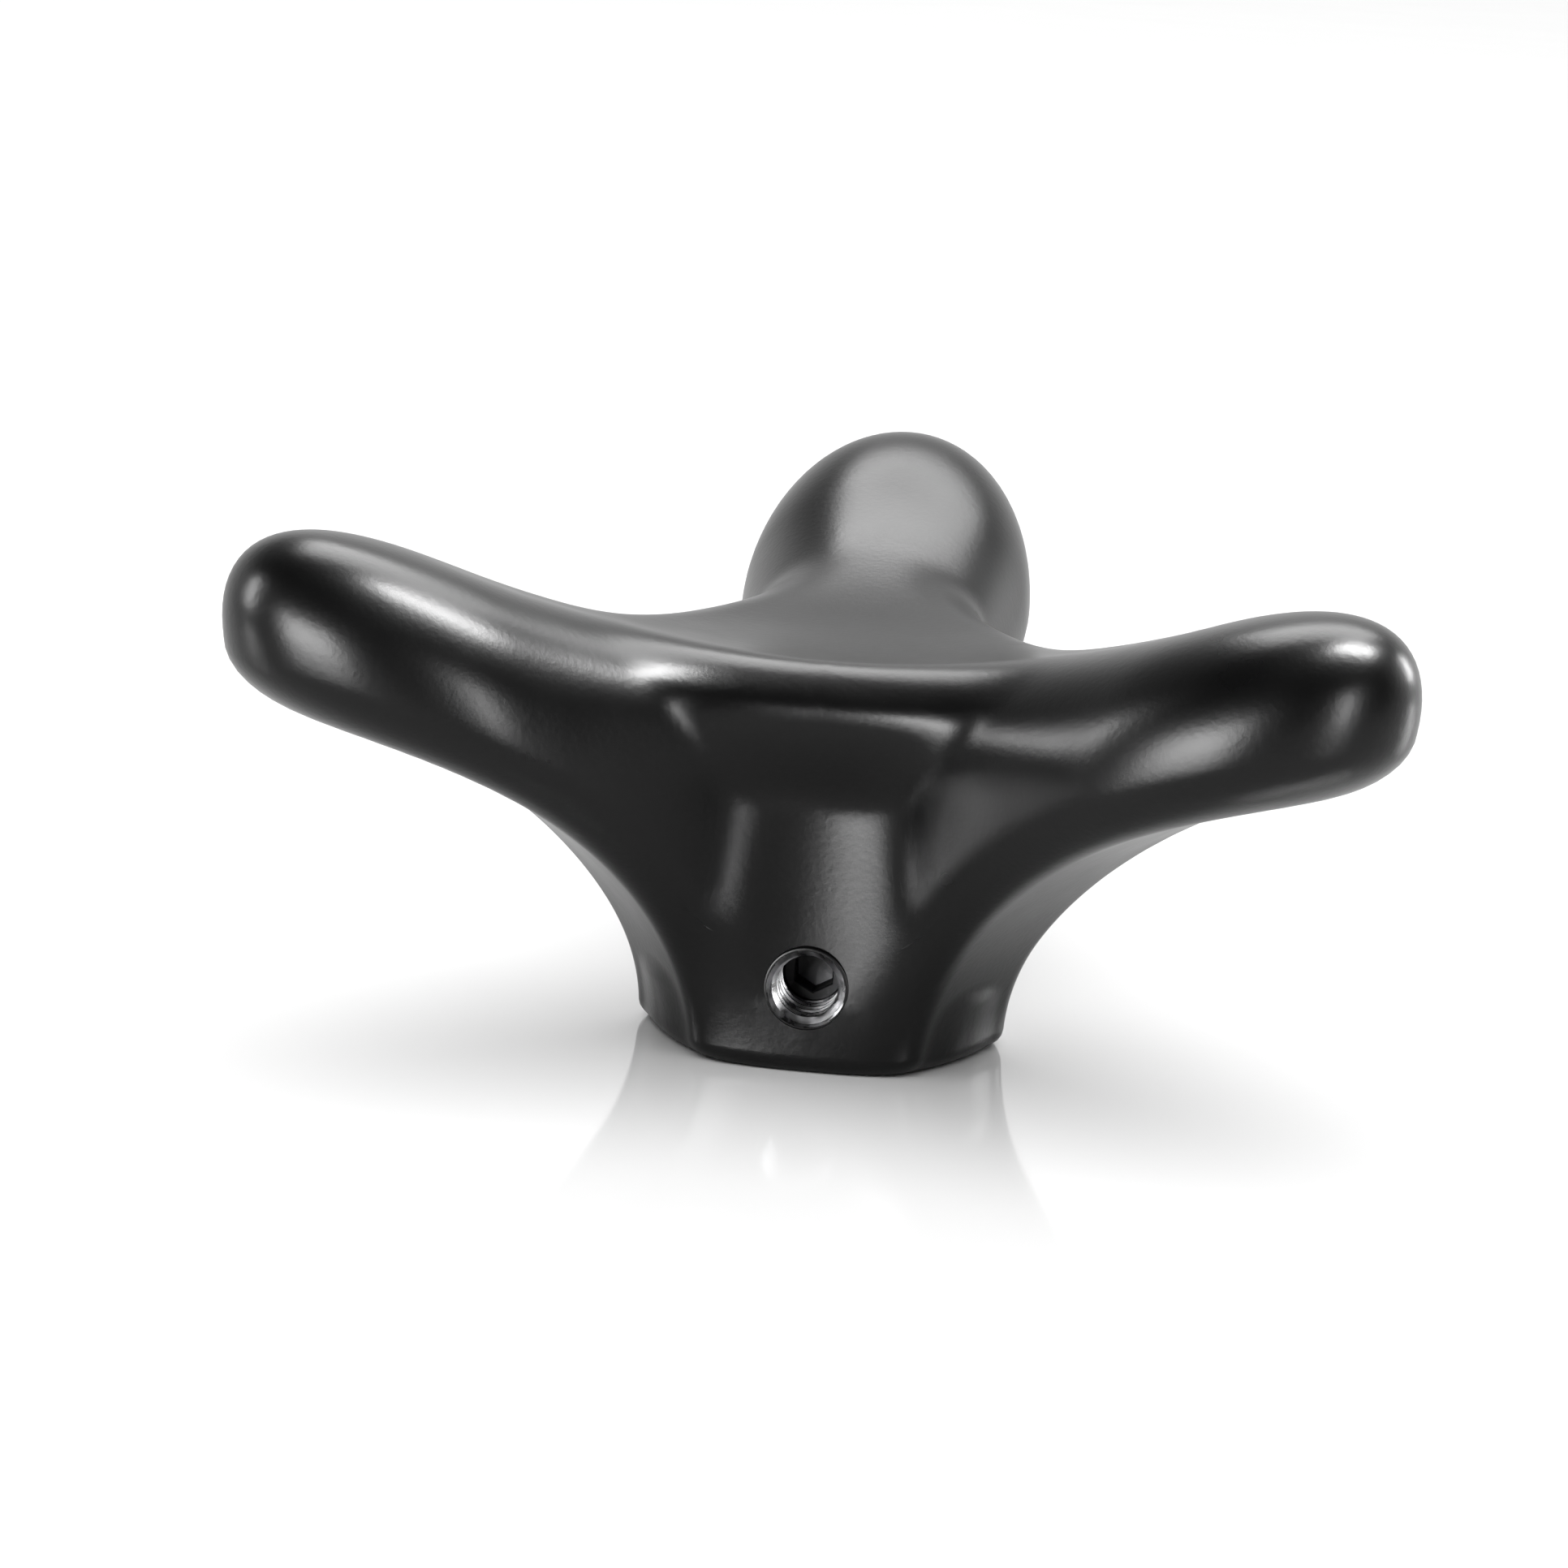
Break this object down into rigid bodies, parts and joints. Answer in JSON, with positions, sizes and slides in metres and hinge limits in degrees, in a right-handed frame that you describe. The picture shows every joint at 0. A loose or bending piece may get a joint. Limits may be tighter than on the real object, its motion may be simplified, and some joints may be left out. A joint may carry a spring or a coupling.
{
  "type": "three-armed hand nut",
  "caption": "Hand nut with three blunt upswept arms on a ribbed hub, a blind thread in its base and a set screw in its side.",
  "frame": {"origin": "on the main thread's axis, in the base plane, at the thread's mouth", "axes": "+Z along the main thread's axis, out of the dished top; +Y along one arm; -Y out of the set screw's hole"},
  "size_m": [0.0928, 0.0835, 0.0427],
  "materials": {
    "enamel": "black gloss enamel with a fine orange peel on cast light alloy",
    "steel": "turned and tapped bright steel",
    "black_steel": "black oxide on steel",
    "brass": "turned brass"
  },
  "bodies": {
    "nut": {"body": "enamel", "threaded_bush": "steel"},
    "pad": {"brass_pad": "brass"},
    "screw": {"set_screw": "black_steel"}
  },
  "joints": [
    {"name": "pad_slide", "type": "slide", "parent": "nut", "child": "pad", "axis": [0, 1, 0], "range_m": [-0.0035, 0.0007]},
    {"name": "set_screw_turn", "type": "hinge", "parent": "pad", "child": "screw", "pos_m": [0, -0.006, 0.007], "axis": [0, 1, 0], "range_deg": [-1261, 253]}
  ],
  "couplings": [
    {"joint": "set_screw_turn", "follows": "pad_slide", "rad_per_m": 6283.2}
  ]
}
